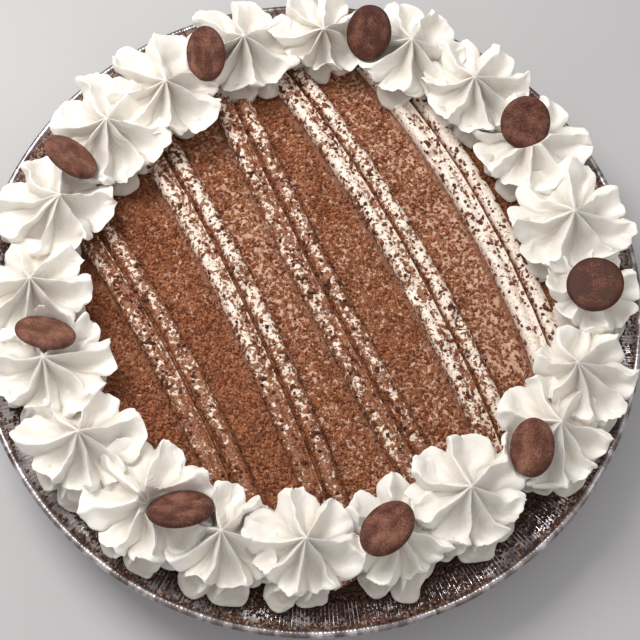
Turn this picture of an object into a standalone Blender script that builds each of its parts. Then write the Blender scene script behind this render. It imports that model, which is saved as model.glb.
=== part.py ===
"""Chocolate cream pie in its foil tin: crumb crust, chocolate filling, piped cream and chocolate discs.

The origin is at the bottom centre of the tin, +Z is up and -Y is the side nearest the viewer.
Lengths are in metres and angles in degrees. An azimuth runs anticlockwise from +X, seen from above.
"""

import math

import bpy
import bmesh
import numpy as np
from mathutils import Matrix

# Foil tin: a flat foot, a flared wall, a shallow sloping flange and a rolled bead
TIN_FOOT_RADIUS = 0.0940
TIN_WALL_TOP_RADIUS = 0.1155
TIN_WALL_TOP = 0.0245
FLANGE_RADIUS = 0.1250
FLANGE_HEIGHT = 0.0282
RIM_RADIUS = 0.1285
RIM_HEIGHT = 0.0300
FOIL = 0.0007
TIN_SIDES = 60

# Baked crumb crust lining the tin
CRUST_WALL = 0.0055
CRUST_FLOOR = 0.0052
CRUST_TOP = 0.0266
CRUMB_RELIEF = 0.0004
CRUST_SIDES = 56

# Chocolate filling, a low dome
FILLING_EDGE_RADIUS = 0.1083
FILLING_EDGE_HEIGHT = 0.0270
FILLING_DOME = 0.0050
FILLING_SIDES = 48
FILLING_RINGS = (0.0920, 0.0740, 0.0500, 0.0260)

# Clear space that separate pieces keep from each other
GAP = 0.0004

# Chocolate shavings on the filling and on the cream lines
SHAVING_LENGTH = 0.0040
SHAVING_WIDTH = 0.0015
SHAVING_HEIGHT = 0.0011
SHAVING_SUNK = 0.0004
FILLING_SHAVINGS = 42
LINE_SHAVINGS = 6
SHAVING_SPACING = 0.0100
SHAVINGS_WITHIN = 0.0720

# Cream lines piped across the filling: heading, then for each the distance of its middle from the
# centre, how far it turns from the heading, and how far it bows over 100 mm
LINE_HEADING = -57.3
LINE_ENDS_RADIUS = 0.1065
LINE_STATIONS = 12
LINE_WIDTH = 0.0158
LINE_HEIGHT = 0.0050
LINES = (
    (-0.0590, 1.8, -0.0073),
    (-0.0257, -1.9, -0.0059),
    (0.0037, -1.0, 0.0040),
    (0.0401, 0.5, -0.0069),
    (0.0755, -0.8, -0.0115),
)
# Section of a line, as fractions of its width and height: broad ridge, fold, crest, cleft, broad ridge
LINE_SECTION = (
    (-0.50, 0.00),
    (-0.49, 0.48),
    (-0.38, 0.95),
    (-0.25, 0.98),
    (-0.13, 0.72),
    (-0.03, 0.98),
    (0.04, 0.34),
    (0.12, 0.84),
    (0.25, 1.00),
    (0.41, 0.84),
    (0.50, 0.40),
    (0.50, 0.00),
)

# The hollow that a line leaves in the cream above it: the same section without its fold and cleft
LINE_HOLLOW = (
    (-0.50, 0.00),
    (-0.50, 0.50),
    (-0.38, 1.02),
    (0.34, 1.02),
    (0.50, 0.62),
    (0.50, 0.00),
)

# Cream rosettes: the peak's azimuth and distance from the centre, how much further out the body
# sits than its peak, reach of the petals, height, and the azimuth of one crest. The three low ones
# are pressed down by a disc.
ROSETTES = (
    (111.1, 0.0999, 0.0055, 0.0212, 0.0300, 156.0),
    (93.8, 0.1006, 0.0075, 0.0203, 0.0305, 44.0),
    (74.0, 0.1033, 0.0057, 0.0195, 0.0300, 16.0),
    (57.9, 0.1021, 0.0068, 0.0198, 0.0305, 76.0),
    (40.5, 0.1016, 0.0030, 0.0230, 0.0265, 26.0),
    (20.4, 0.1012, 0.0020, 0.0240, 0.0300, 51.0),
    (5.0, 0.1030, 0.0045, 0.0198, 0.0260, 36.0),
    (346.1, 0.1010, 0.0065, 0.0203, 0.0300, 23.0),
    (333.0, 0.1030, 0.0020, 0.0225, 0.0300, 11.0),
    (310.1, 0.0955, 0.0032, 0.0227, 0.0300, 8.0),
    (293.0, 0.0973, 0.0020, 0.0218, 0.0260, 6.0),
    (273.8, 0.0975, 0.0015, 0.0212, 0.0310, 11.0),
    (257.6, 0.0999, 0.0028, 0.0210, 0.0300, 21.0),
    (241.0, 0.1018, 0.0000, 0.0248, 0.0300, 41.0),
    (222.2, 0.1017, 0.0016, 0.0226, 0.0305, 31.0),
    (205.4, 0.1016, 0.0004, 0.0228, 0.0295, 31.0),
    (187.9, 0.1025, 0.0010, 0.0238, 0.0300, 14.0),
    (169.4, 0.0975, 0.0070, 0.0213, 0.0305, 28.0),
    (148.6, 0.0980, 0.0038, 0.0244, 0.0300, 14.0),
    (132.2, 0.0940, 0.0056, 0.0235, 0.0300, -4.0),
)
PETALS = 7
PETAL_CREST = 0.62
PETAL_WIDTHS_VARY = 0.20
PETAL_REACH_VARIES = 0.09
ROSETTE_SWIRL = -24.0
# How far out a rosette may reach: its skirt beside the flange, and the petals above it
ROSETTE_FOOT_LIMIT = 0.1212
ROSETTE_LIMIT = 0.1270
# Side of a rosette, as fractions of its height and reach, with how deep its valleys cut there:
# foot, skirt, notch, lip and shoulder
ROSETTE_SIDE = (
    (0.00, 0.90, 0.10),
    (0.09, 1.00, 0.16),
    (0.29, 0.66, 0.12),
    (0.49, 1.00, 0.26),
    (0.66, 0.60, 0.44),
)

# Chocolate discs: azimuth, distance from the centre, height, diameter, the azimuth that the face
# leans towards, and how far it leans from lying flat
DISC_THICKNESS = 0.0034
DISC_SIDES = 16
HOLLOW_SIDES = 12
DISCS = (
    (120.4, 0.1015, 0.0507, 0.0216, 214.0, 54.0),
    (83.9, 0.1050, 0.0508, 0.0220, 211.0, 48.5),
    (43.8, 0.1041, 0.0512, 0.0208, 300.0, 32.0),
    (5.0, 0.1048, 0.0500, 0.0214, 186.0, 14.5),
    (326.4, 0.1005, 0.0502, 0.0216, 189.0, 57.5),
    (291.2, 0.0960, 0.0503, 0.0222, 150.0, 44.5),
    (247.6, 0.0976, 0.0498, 0.0240, 101.0, 51.5),
    (198.7, 0.0994, 0.0502, 0.0222, 77.0, 48.0),
    (158.3, 0.1034, 0.0503, 0.0226, 45.0, 49.0),
)

for old in list(bpy.data.objects):
    bpy.data.objects.remove(old)


def finish_material(name, colour, roughness, metallic=0.0):
    material = bpy.data.materials.new(name)
    material.use_nodes = True
    shader = material.node_tree.nodes["Principled BSDF"]
    shader.inputs["Base Color"].default_value = (*colour, 1.0)
    shader.inputs["Roughness"].default_value = roughness
    shader.inputs["Metallic"].default_value = metallic
    return material


FOIL_METAL = finish_material("foil_metal", (0.62, 0.60, 0.60), 0.30, 1.0)
DARK_CRUMB = finish_material("dark_crumb", (0.045, 0.018, 0.010), 0.90)
CHOCOLATE_CREAM = finish_material("chocolate_cream", (0.19, 0.075, 0.040), 0.75)
WHIPPED_CREAM = finish_material("whipped_cream", (0.86, 0.82, 0.74), 0.50)
MILK_CHOCOLATE = finish_material("milk_chocolate", (0.12, 0.042, 0.030), 0.42)


def add_solid(name, points, faces, material):
    """One closed mesh object, its faces turned outwards."""
    mesh = bpy.data.meshes.new(name)
    mesh.from_pydata([tuple(point) for point in points], [], [tuple(face) for face in faces])
    shaper = bmesh.new()
    shaper.from_mesh(mesh)
    bmesh.ops.recalc_face_normals(shaper, faces=shaper.faces)
    shaper.to_mesh(mesh)
    shaper.free()
    mesh.materials.append(material)
    mesh.shade_smooth()
    mesh.set_sharp_from_angle(angle=math.radians(40))
    solid = bpy.data.objects.new(name, mesh)
    bpy.context.scene.collection.objects.link(solid)
    return solid


def stacked_rings(rings):
    """Faces joining equal rings of points one after another, closed by the first and the last ring."""
    count = len(rings[0])
    faces = [list(range(count))[::-1]]
    for level in range(len(rings) - 1):
        for side in range(count):
            here = level * count + side
            beside = level * count + (side + 1) % count
            faces.append((here, beside, beside + count, here + count))
    top = (len(rings) - 1) * count
    faces.append(range(top, top + count))
    return np.concatenate(rings), faces


def ring_points(radius, height, sides):
    angles = np.arange(sides) * 2 * np.pi / sides
    heights = np.broadcast_to(height, angles.shape)
    return np.stack([radius * np.cos(angles), radius * np.sin(angles), heights], axis=1)


def filling_height(radius):
    """The dome: highest in the middle, level with the crust at its edge."""
    across = np.minimum(radius, FILLING_EDGE_RADIUS) / FILLING_EDGE_RADIUS
    return FILLING_EDGE_HEIGHT + FILLING_DOME * (1 - across**2)


def make_tin():
    """Foot, wall, flange and bead on the outside, then back down the inside."""
    profile = (
        (TIN_FOOT_RADIUS, 0.0),
        (TIN_FOOT_RADIUS + 0.0025, 0.0012),
        (TIN_WALL_TOP_RADIUS, TIN_WALL_TOP),
        (FLANGE_RADIUS, FLANGE_HEIGHT - FOIL),
        (RIM_RADIUS - 0.0015, RIM_HEIGHT - 0.0030),
        (RIM_RADIUS, RIM_HEIGHT - 0.0018),
        (RIM_RADIUS - 0.0006, RIM_HEIGHT - 0.0003),
        (RIM_RADIUS - 0.0022, RIM_HEIGHT),
        (FLANGE_RADIUS, FLANGE_HEIGHT + 0.0003),
        (TIN_WALL_TOP_RADIUS - FOIL * 0.6, TIN_WALL_TOP + FOIL),
        (TIN_FOOT_RADIUS + 0.0022, 0.0012 + FOIL),
        (TIN_FOOT_RADIUS - 0.0004, FOIL),
    )
    rings = [ring_points(radius, height, TIN_SIDES) for radius, height in profile]
    return add_solid("foil_tin", *stacked_rings(rings), FOIL_METAL)


def make_crust():
    """A crumb shell with a floor, a flared wall and a rough top edge."""
    rng = np.random.default_rng(11)
    foot = TIN_FOOT_RADIUS - 0.0010
    top = TIN_WALL_TOP_RADIUS - 0.0010
    rough = [CRUMB_RELIEF * rng.uniform(-1, 1, CRUST_SIDES) for _ in range(2)]
    profile = (
        (foot, FOIL + GAP),
        (foot + 0.0022, FOIL + GAP + 0.0016),
        (top, TIN_WALL_TOP + 0.0008),
        (top - 0.0010, CRUST_TOP - 0.0002 + rough[0]),
        (top - CRUST_WALL + 0.0012, CRUST_TOP + rough[1]),
        (top - CRUST_WALL, CRUST_TOP - 0.0012),
        (foot - 0.0022, FOIL + GAP + CRUST_FLOOR + 0.0010),
        (foot - 0.0036, FOIL + GAP + CRUST_FLOOR),
    )
    rings = [ring_points(radius, height, CRUST_SIDES) for radius, height in profile]
    return add_solid("crumb_crust", *stacked_rings(rings), DARK_CRUMB)


def make_filling():
    """Fills the crust up to a low dome."""
    floor = FOIL + 2 * GAP + CRUST_FLOOR
    foot = TIN_FOOT_RADIUS - 0.0010 - 0.0042
    profile = [(foot, floor), (foot + 0.0014, floor + 0.0012), (FILLING_EDGE_RADIUS, FILLING_EDGE_HEIGHT)]
    profile += [(radius, filling_height(radius)) for radius in FILLING_RINGS]
    rings = [ring_points(radius, height, FILLING_SIDES) for radius, height in profile]
    points, faces = stacked_rings(rings)
    faces.pop()
    apex = len(points)
    last = apex - FILLING_SIDES
    for side in range(FILLING_SIDES):
        faces.append((last + side, last + (side + 1) % FILLING_SIDES, apex))
    points = np.vstack([points, (0.0, 0.0, filling_height(0.0))])
    return add_solid("chocolate_filling", points, faces, CHOCOLATE_CREAM)


def line_path(number):
    """Points along the middle of a cream line, and the direction across it."""
    offset, turn, bow = LINES[number]
    heading = math.radians(LINE_HEADING)
    along = np.array([math.cos(heading), math.sin(heading)])
    across = np.array([-along[1], along[0]])
    half = math.sqrt(LINE_ENDS_RADIUS**2 - offset**2)
    steps = np.linspace(-half, half, LINE_STATIONS)
    shift = offset + np.tan(math.radians(turn)) * steps + bow * (steps / 0.1) ** 2
    return steps[:, None] * along + shift[:, None] * across, along, across


def line_rings(number, section=LINE_SECTION, grow=0.0):
    """Sections of a line, one at each station, slightly uneven; grow widens them for a cutter."""
    rng = np.random.default_rng(30 + number)
    middle, along, across = line_path(number)
    rings = []
    for station, (x, y) in enumerate(middle):
        width = LINE_WIDTH * (1 + 0.04 * rng.uniform(-1, 1))
        height = LINE_HEIGHT * (1 + 0.05 * rng.uniform(-1, 1))
        if station in (0, LINE_STATIONS - 1):
            x, y = np.array([x, y]) + along * grow * (1 if station else -1)
        ring = []
        for side, rise in section:
            reach = side * (width + 2 * grow)
            base = filling_height(math.hypot(x + across[0] * reach, y + across[1] * reach))
            lift = GAP - 2 * grow if rise == 0 else GAP + rise * height + grow
            ring.append((x + across[0] * reach, y + across[1] * reach, base + lift))
        rings.append(np.array(ring))
    return rings


def make_line(number):
    name = f"cream_line_{number + 1}"
    return add_solid(name, *stacked_rings(line_rings(number)), WHIPPED_CREAM)


def place(azimuth, radius):
    turn = math.radians(azimuth)
    return np.array([radius * math.cos(turn), radius * math.sin(turn)])


def make_rosette(number):
    """A star of petals. Each level is a ring with three points a petal: valley, flank and crest.

    The rings' middles move in towards the peak as they rise. The skirt is narrower than the lip,
    least so on the near side, and the petals are squeezed flat where they meet the neighbours.
    """
    rng = np.random.default_rng(60 + number)
    azimuth, radius, further, reach, height, crest = ROSETTES[number]
    peak = place(azimuth, radius)
    ahead = place(azimuth, 1.0)
    widths = 1 + PETAL_WIDTHS_VARY * rng.uniform(-1, 1, PETALS)
    starts = np.concatenate([[0.0], np.cumsum(widths)[:-1]]) / widths.sum() * 2 * np.pi
    widths = widths / widths.sum() * 2 * np.pi
    lengths = 1 + PETAL_REACH_VARIES * rng.uniform(-1, 1, PETALS)
    fractions = np.array([0.0, PETAL_CREST * 0.55, PETAL_CREST])
    ridges = np.array([0.0, 0.72, 1.0])
    angles = (starts[:, None] + widths[:, None] * fractions).ravel()
    angles += math.radians(crest) - PETAL_CREST * widths[0]
    ridges = np.tile(ridges, PETALS)
    reaches = np.repeat(lengths, 3) * reach
    rings = []
    for rise, spread, depth in ROSETTE_SIDE:
        turned = angles + math.radians(ROSETTE_SWIRL) * (1 - rise) ** 1.5
        near = np.clip(-np.sin(turned), 0, 1)
        outward = np.clip(np.cos(turned - math.radians(azimuth)), 0, 1)
        skirt = 0.76 + 0.12 * near + 0.12 * near * outward
        across = spread * reaches * (1 - depth * (1 - ridges)) * (skirt if rise < 0.4 else 1.0)
        middle = peak + ahead * further * (1 - rise**2)
        ways = np.stack([np.cos(turned), np.sin(turned)], axis=1)
        across = np.minimum(across, room_beside(number, middle, ways))
        ring = held_in(middle + across[:, None] * ways, rise)
        base = filling_height(np.hypot(*ring.T)) + GAP + 0.0003
        rings.append(np.column_stack([ring, base + rise * height]))
    points, faces = stacked_rings(rings)
    faces.pop()
    apex = len(points)
    last = apex - len(angles)
    for side in range(len(angles)):
        faces.append((last + side, last + (side + 1) % len(angles), apex))
    tip = filling_height(radius) + GAP + height
    points = np.vstack([points, (*peak, tip)])
    return add_solid(f"cream_rosette_{number + 1:02d}", points, faces, WHIPPED_CREAM)


def body_middle(number):
    azimuth, radius, further = ROSETTES[number][:3]
    return place(azimuth, radius + further)


def room_beside(number, middle, ways):
    """How far a ring reaches from its middle each way before it meets the rosettes beside it."""
    here = body_middle(number)
    room = np.full(len(ways), 1.0)
    for beside in (number - 1, (number + 1) % len(ROSETTES)):
        apart = body_middle(beside) - here
        distance = np.hypot(*apart)
        towards = apart / distance
        wall = distance / 2 - GAP - (middle - here) @ towards
        facing = ways @ towards
        room = np.where(facing > 0.05, np.minimum(room, wall / np.maximum(facing, 0.05)), room)
    return room


def held_in(points, rise):
    """Slows points down that come near the farthest reach allowed at this height."""
    limit = ROSETTE_FOOT_LIMIT + (ROSETTE_LIMIT - ROSETTE_FOOT_LIMIT) * min(rise / 0.12, 1.0)
    slow = 0.005
    far = np.hypot(*points.T)
    held = np.where(far > limit - slow, limit - slow + slow * np.tanh((far - limit + slow) / slow), far)
    return points * (held / far)[:, None]


def disc_matrix(number):
    azimuth, radius, height, _, lean_azimuth, lean = DISCS[number]
    x, y = place(azimuth, radius)
    facing = Matrix.Rotation(math.radians(lean_azimuth), 4, "Z") @ Matrix.Rotation(math.radians(lean), 4, "Y")
    return Matrix.Translation((x, y, height)) @ facing


def disc_rings(number):
    """A round drop of chocolate: flat below, rounded edge and a faintly domed face."""
    radius = DISCS[number][3] / 2
    half = DISC_THICKNESS / 2
    profile = ((radius * 0.90, -half), (radius, -half * 0.35), (radius * 0.97, half * 0.45), (radius * 0.72, half))
    return [ring_points(across, height, DISC_SIDES) for across, height in profile]


def disc_hollow(number):
    """The round hollow that a disc leaves in the cream, with fewer sides but clear of it all round."""
    radius = (DISCS[number][3] / 2 + GAP) / math.cos(math.pi / HOLLOW_SIDES)
    half = DISC_THICKNESS / 2 + GAP
    return [ring_points(radius, height, HOLLOW_SIDES) for height in (-half, half)]


def make_disc(number):
    disc = add_solid(f"chocolate_disc_{number + 1}", *stacked_rings(disc_rings(number)), MILK_CHOCOLATE)
    disc.data.transform(disc_matrix(number))
    return disc


def make_cutter(rings, matrix=None):
    """A piece grown by the clear space it keeps, to be cut from the cream around it."""
    cutter = add_solid("cutter", *stacked_rings(rings), WHIPPED_CREAM)
    if matrix is not None:
        cutter.data.transform(matrix)
    cutter.hide_render = True
    cutter.display_type = "WIRE"
    return cutter


def box_gap(first, second):
    """The widest clear distance between two objects' boxes along an axis; below zero they may touch."""
    corners = [np.array([vertex.co for vertex in solid.data.vertices]) for solid in (first, second)]
    lows = [points.min(axis=0) for points in corners]
    highs = [points.max(axis=0) for points in corners]
    return max(np.max(lows[0] - highs[1]), np.max(lows[1] - highs[0]))


def bake(solid):
    """Applies the modifiers and keeps the largest body, without any scrap that a cut left loose."""
    graph = bpy.context.evaluated_depsgraph_get()
    graph.update()
    baked = bpy.data.meshes.new_from_object(solid.evaluated_get(graph))
    solid.modifiers.clear()
    shaper = bmesh.new()
    shaper.from_mesh(baked)
    bmesh.ops.triangulate(shaper, faces=shaper.faces)
    unseen = set(shaper.faces)
    bodies = []
    while unseen:
        body = [unseen.pop()]
        for face in body:
            for edge in face.edges:
                for beside in edge.link_faces if len(edge.link_faces) == 2 else ():
                    if beside in unseen:
                        unseen.discard(beside)
                        body.append(beside)
        bodies.append(body)
    bodies.sort(key=len)
    loose = [face for body in bodies[:-1] for face in body]
    bmesh.ops.delete(shaper, geom=loose, context="FACES")
    shaper.to_mesh(baked)
    shaper.free()
    baked.shade_smooth()
    baked.set_sharp_from_angle(angle=math.radians(40))
    old = solid.data
    solid.data = baked
    bpy.data.meshes.remove(old)
    baked.name = solid.name


def cut(solid, cutters):
    """Cuts every cutter that comes near out of the solid."""
    near = [cutter for cutter in cutters if box_gap(solid, cutter) < 0]
    for cutter in near:
        boolean = solid.modifiers.new("clear", "BOOLEAN")
        boolean.operation = "DIFFERENCE"
        boolean.object = cutter
    if near:
        bake(solid)


def shaving_rings(rng):
    """A curved sliver of chocolate, lying along X and sunk a little below its own origin."""
    length = SHAVING_LENGTH * rng.uniform(0.75, 1.15)
    width = SHAVING_WIDTH * rng.uniform(0.8, 1.15)
    height = SHAVING_HEIGHT * rng.uniform(0.8, 1.2)
    bend = length * rng.uniform(-0.22, 0.22)
    rings = []
    for along, narrow in ((-0.5, 0.55), (0.0, 1.0), (0.5, 0.5)):
        half = width * narrow / 2
        aside = bend * (0.25 - along**2) * 4
        rings.append(
            np.array(
                [
                    (along * length, aside - half, -SHAVING_SUNK),
                    (along * length, aside + half, -SHAVING_SUNK),
                    (along * length, aside + half * 0.6, height * narrow - SHAVING_SUNK * 0.2),
                    (along * length, aside - half * 0.6, height * narrow - SHAVING_SUNK * 0.2),
                ]
            )
        )
    return rings


def fuse_shavings(solid, spots, rng):
    """Joins a shaving at each spot to the solid by one union."""
    heap = bpy.data.collections.new("shavings")
    bpy.context.scene.collection.children.link(heap)
    for x, y, z in spots:
        piece = add_solid("shaving", *stacked_rings(shaving_rings(rng)), MILK_CHOCOLATE)
        bpy.context.scene.collection.objects.unlink(piece)
        heap.objects.link(piece)
        piece.data.transform(Matrix.Translation((x, y, z)) @ Matrix.Rotation(rng.uniform(0, 2 * math.pi), 4, "Z"))
    join = solid.modifiers.new("shavings", "BOOLEAN")
    join.operation = "UNION"
    join.operand_type = "COLLECTION"
    join.collection = heap
    bake(solid)
    for piece in list(heap.objects):
        bpy.data.objects.remove(piece)
    bpy.data.collections.remove(heap)


def distance_to_lines(x, y):
    """Clear distance from a point to the nearest cream line's middle, measured across it."""
    nearest = 1.0
    for number in range(len(LINES)):
        middle, _, _ = line_path(number)
        for start, end in zip(middle[:-1], middle[1:]):
            span = end - start
            part = np.clip(((x, y) - start) @ span / (span @ span), 0, 1)
            nearest = min(nearest, math.dist((x, y), start + part * span))
    return nearest


def filling_spots(rng):
    """Spots on the filling, spread evenly and clear of the lines and the rosettes."""
    spots = []
    clear = LINE_WIDTH / 2 + SHAVING_LENGTH * 0.75
    while len(spots) < FILLING_SHAVINGS:
        radius = SHAVINGS_WITHIN * math.sqrt(rng.uniform())
        x, y = place(360 * rng.uniform(), radius)
        if distance_to_lines(x, y) < clear:
            continue
        if any(math.dist((x, y), spot[:2]) < SHAVING_SPACING for spot in spots):
            continue
        spots.append((x, y, filling_height(radius)))
    return spots


def line_spots(number, rng):
    """Spots on the two broad ridges of a line, evenly spaced between the rosettes."""
    middle, _, across = line_path(number)
    inside = middle[np.hypot(middle[:, 0], middle[:, 1]) < SHAVINGS_WITHIN]
    if len(inside) < 2:
        return []
    spots = []
    for step in np.linspace(0.06, 0.94, LINE_SHAVINGS):
        index = step * (len(inside) - 1)
        low = min(int(index), len(inside) - 2)
        point = inside[low] + (index - low) * (inside[low + 1] - inside[low])
        side = (-0.31, 0.27)[len(spots) % 2] * LINE_WIDTH
        x, y = point + across * (side + 0.0004 * rng.uniform(-1, 1))
        spots.append((x, y, filling_height(math.hypot(x, y)) + GAP + LINE_HEIGHT * 0.95))
    return spots


make_tin()
make_crust()
filling = make_filling()
lines = [make_line(number) for number in range(len(LINES))]
rosettes = [make_rosette(number) for number in range(len(ROSETTES))]
for number in range(len(DISCS)):
    make_disc(number)

cutters = [make_cutter(line_rings(number, LINE_HOLLOW, GAP)) for number in range(len(LINES))]
cutters += [make_cutter(disc_hollow(number), disc_matrix(number)) for number in range(len(DISCS))]
for rosette in rosettes:
    cut(rosette, cutters)
for cutter in cutters:
    bpy.data.objects.remove(cutter)

draws = np.random.default_rng(5)
fuse_shavings(filling, filling_spots(draws), draws)
for number, line in enumerate(lines):
    spots = line_spots(number, draws)
    if spots:
        fuse_shavings(line, spots, draws)
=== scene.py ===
"""Chocolate cream pie in its foil tin: the looks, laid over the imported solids.

The frame's origin is at the bottom centre of the tin, +Z is up and -Y is the side nearest the camera.
Lengths are in metres and angles in degrees. An azimuth runs anticlockwise from +X, seen from above.
"""

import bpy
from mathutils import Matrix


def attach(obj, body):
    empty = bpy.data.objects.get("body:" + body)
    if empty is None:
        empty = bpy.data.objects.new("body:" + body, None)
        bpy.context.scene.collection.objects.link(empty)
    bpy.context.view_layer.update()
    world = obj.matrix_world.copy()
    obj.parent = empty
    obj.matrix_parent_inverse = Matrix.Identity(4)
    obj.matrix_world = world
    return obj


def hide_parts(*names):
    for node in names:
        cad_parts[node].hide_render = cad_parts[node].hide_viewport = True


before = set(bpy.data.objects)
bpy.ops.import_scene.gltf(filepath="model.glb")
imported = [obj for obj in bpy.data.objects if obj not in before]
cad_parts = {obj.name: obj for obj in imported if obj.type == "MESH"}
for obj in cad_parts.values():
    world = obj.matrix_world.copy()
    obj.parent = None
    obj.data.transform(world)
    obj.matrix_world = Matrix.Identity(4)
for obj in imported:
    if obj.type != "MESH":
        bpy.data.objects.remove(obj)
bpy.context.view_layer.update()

import math

import bpy
import numpy as np
from mathutils import Matrix

# ------------------------------------------------------------------------------------- foil tin
# The tin is pressed from a disc of thin aluminium foil. Its wall and flange are gathered into fine
# upright pleats, and its edge is rolled outwards into a round bead.
TIN_PLEATS = 520
COLUMNS_PER_PLEAT = 4
TIN_RADIUS = 0.1270
TIN_TOP = 0.0300
BEAD_CENTRE = (0.1269, 0.0285)
BEAD_RADIUS = 0.0015
BEAD_PLEATS = 0.00003
FOIL_SMUDGED = (0.20, 0.17, 0.19)
FOIL_BRIGHT = (0.77, 0.73, 0.76)
FOIL_BEAD = (0.16, 0.12, 0.11)
# Outside of the foil from the foot up: radius, height, depth of the pleats
TIN_OUTSIDE = (
    (0.0900, 0.0000, 0.0),
    (0.0940, 0.0000, 0.0),
    (0.0956, 0.0005, 0.00004),
    (0.0968, 0.0015, 0.00010),
    (0.1010, 0.0067, 0.00022),
    (0.1060, 0.0128, 0.00026),
    (0.1110, 0.0190, 0.00028),
    (0.1149, 0.0237, 0.00028),
    (0.1162, 0.0247, 0.00028),
    (0.1190, 0.0257, 0.00030),
    (0.1225, 0.0268, 0.00030),
    (0.1252, 0.0275, 0.00018),
)
# Inside of the foil from the flange down
TIN_INSIDE = (
    (0.1252, 0.0287, 0.00020),
    (0.1238, 0.0280, 0.00046),
    (0.1210, 0.0271, 0.00055),
    (0.1185, 0.0263, 0.00055),
    (0.1163, 0.0256, 0.00040),
    (0.1150, 0.0250, 0.00034),
    (0.1110, 0.0202, 0.00028),
    (0.1060, 0.0140, 0.00024),
    (0.1010, 0.0079, 0.00020),
    (0.0964, 0.0022, 0.00010),
    (0.0940, 0.0008, 0.0),
    (0.0900, 0.0007, 0.0),
)


def lumps(points, size, seed):
    """Smooth random heights from -1 to 1. Each corner of a cubic lattice of the given size gets a
    random height, and a point takes the mean of its cell's eight corners, weighted along each axis
    by 3t^2 - 2t^3 of its place in the cell."""
    cells = np.asarray(points, float) / size + 500.5
    corner = np.floor(cells).astype(np.int64)
    part = cells - corner
    part = part * part * (3 - 2 * part)
    total = np.zeros(cells.shape[:-1])
    for step in np.ndindex(2, 2, 2):
        x, y, z = np.moveaxis(corner + np.array(step), -1, 0)
        mixed = (x * 73856093) ^ (y * 19349663) ^ (z * 83492791) ^ (seed * 2654435)
        mixed = (mixed ^ (mixed >> 13)) * 1274126177
        height = ((mixed ^ (mixed >> 16)) & 0xFFFF) / 32767.5 - 1
        total += height * np.prod(np.where(step, part, 1 - part), axis=-1)
    return total


def hump(value, middle, width, power=2):
    """1 at the middle, falling on both sides: e to minus the distance in widths, to the power."""
    return np.exp(-(((value - middle) / width) ** power))


def rising(value, start, length):
    """0 up to the start, then rising evenly to 1 over the length, or downwards if that is negative."""
    return np.clip((value - start) / length, 0, 1)


def swept_round(radius, height, azimuth):
    """Points of each radius and height, turned round the Z axis to each azimuth in radians."""
    return np.stack(np.broadcast_arrays(radius * np.cos(azimuth), radius * np.sin(azimuth), height), axis=-1)


def new_piece(name, points, faces, material, marks=None, smooth=True):
    """One mesh object riding on the pie. Faces is a list of arrays, each of faces with as many
    corners. Marks are named values, one a point, that the material reads."""
    mesh = bpy.data.meshes.new(name)
    sizes = np.concatenate([np.full(len(group), group.shape[1]) for group in faces])
    corners = np.concatenate([group.ravel() for group in faces]).astype(np.int32)
    mesh.vertices.add(len(points))
    mesh.vertices.foreach_set("co", np.asarray(points, np.float32).ravel())
    mesh.loops.add(len(corners))
    mesh.loops.foreach_set("vertex_index", corners)
    mesh.polygons.add(len(sizes))
    mesh.polygons.foreach_set("loop_start", (np.cumsum(sizes) - sizes).astype(np.int32))
    mesh.polygons.foreach_set("use_smooth", np.full(len(sizes), smooth))
    mesh.update(calc_edges=True)
    for label, values in (marks or {}).items():
        attribute = mesh.attributes.new(label, "FLOAT", "POINT")
        attribute.data.foreach_set("value", np.asarray(values, np.float32).ravel())
    mesh.materials.append(material)
    piece = bpy.data.objects.new(name, mesh)
    bpy.context.scene.collection.objects.link(piece)
    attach(piece, "root")
    return piece


def closed_piece(name, points, material, marks=None, clockwise=False):
    """A piece from a grid of points that closes on itself column-wise, with one flat face over its
    first row and one over its last. Where rows run upwards, columns run anticlockwise, or else the
    faces are turned over, so that they point outwards."""
    rows, columns = points.shape[:2]
    row = np.arange(rows - 1)[:, None] * columns
    here = np.arange(columns)[None]
    beside = (here + 1) % columns
    quads = np.stack([row + here, row + beside, row + columns + beside, row + columns + here], axis=-1)
    faces = [quads.reshape(-1, 4), here[:, ::-1], here + (rows - 1) * columns]
    if clockwise:
        faces = [group[:, ::-1] for group in faces]
    return new_piece(name, points.reshape(-1, 3), faces, material, marks)


def add_node(tree, kind, feeds=None, **settings):
    """Adds a node, sets it, and feeds its inputs with values or with other nodes' outputs."""
    node = tree.nodes.new(kind)
    for name, value in settings.items():
        setattr(node, name, value)
    for name, value in (feeds or {}).items():
        if isinstance(value, bpy.types.NodeSocket):
            tree.links.new(value, node.inputs[name])
        else:
            node.inputs[name].default_value = value
    return node


def new_finish(name, settings):
    """A material with its Principled shader set, and the tree that its other nodes join."""
    material = bpy.data.materials.new(name)
    material.use_nodes = True
    tree = material.node_tree
    for setting, value in settings.items():
        tree.nodes["Principled BSDF"].inputs[setting].default_value = value
    return material, tree


def feed(tree, name, value):
    """Feeds one input of the Principled shader."""
    tree.links.new(value, tree.nodes["Principled BSDF"].inputs[name])


def noise(tree, per_metre, detail=2.0, roughness=0.5, where=None, output="Fac"):
    """Noise of so many waves a metre, on the piece's own coordinates or on those given."""
    if where is None:
        where = add_node(tree, "ShaderNodeTexCoord").outputs["Object"]
    feeds = {"Vector": where, "Scale": per_metre, "Detail": detail, "Roughness": roughness}
    return add_node(tree, "ShaderNodeTexNoise", feeds).outputs[output]


def reckon(tree, operation, first, second, kind="ShaderNodeMath"):
    """The sum, difference or product of two values, or of two vectors."""
    return add_node(tree, kind, {0: first, 1: second}, operation=operation).outputs[0]


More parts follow.
